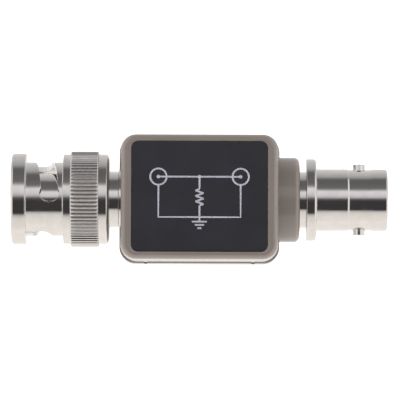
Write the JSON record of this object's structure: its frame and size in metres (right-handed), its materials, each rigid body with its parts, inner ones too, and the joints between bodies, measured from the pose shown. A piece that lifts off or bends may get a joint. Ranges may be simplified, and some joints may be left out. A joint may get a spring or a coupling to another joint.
{
  "type": "coaxial feed-through terminator",
  "caption": "Inline coaxial terminator: a bayonet plug with a knurled coupling nut, a plastic box housing with a label that holds the load, and a bayonet jack.",
  "frame": {"origin": "middle of the overall length, on the coaxial line in plan, at the flat back face of the housing", "axes": "+X along the coaxial line towards the jack, +Z out of the label, +Y towards the top of the label"},
  "size_m": [0.0582, 0.0198, 0.0154],
  "materials": {
    "housing": "fine texture, taupe grey",
    "label": "satin film, blue black",
    "nickel": "bright nickel plate on brass",
    "spring_steel": "spring steel",
    "gold": "gold plate on brass",
    "ptfe": "white fluoropolymer",
    "silicone": "silicone rubber",
    "laminate": "glass fibre laminate with solder mask",
    "chip": "glazed ceramic"
  },
  "bodies": {
    "housing_and_bodies": {"front_shell": "housing", "rear_shell": "housing", "front_label": "label", "plug_body": "nickel", "jack_body": "nickel", "jack_lug_upper": "nickel", "jack_lug_lower": "nickel", "plug_ground_tag": "nickel", "jack_ground_tag": "nickel", "plug_hex_nut": "nickel", "jack_hex_nut": "nickel", "wave_washer": "spring_steel", "plug_pin": "gold", "jack_socket": "gold", "plug_insulator": "ptfe", "jack_insulator": "ptfe", "plug_gasket": "silicone", "circuit_board": "laminate", "chip_resistor_1": "chip", "chip_resistor_2": "chip", "chip_resistor_3": "chip", "chip_resistor_4": "chip"},
    "thrust_washer": {"thrust_washer": "nickel"},
    "coupling_nut": {"coupling_nut": "nickel"}
  },
  "joints": [
    {"name": "nut_slide", "type": "slide", "parent": "housing_and_bodies", "child": "thrust_washer", "axis": [-1, 0, 0], "range_m": [0, 0.0006], "stiffness_N_per_m": 4000, "deforming": ["wave_washer"]},
    {"name": "nut_turn", "type": "hinge", "parent": "thrust_washer", "child": "coupling_nut", "pos_m": [-0.0215, 0, 0.0077], "axis": [1, 0, 0], "continuous": true}
  ]
}
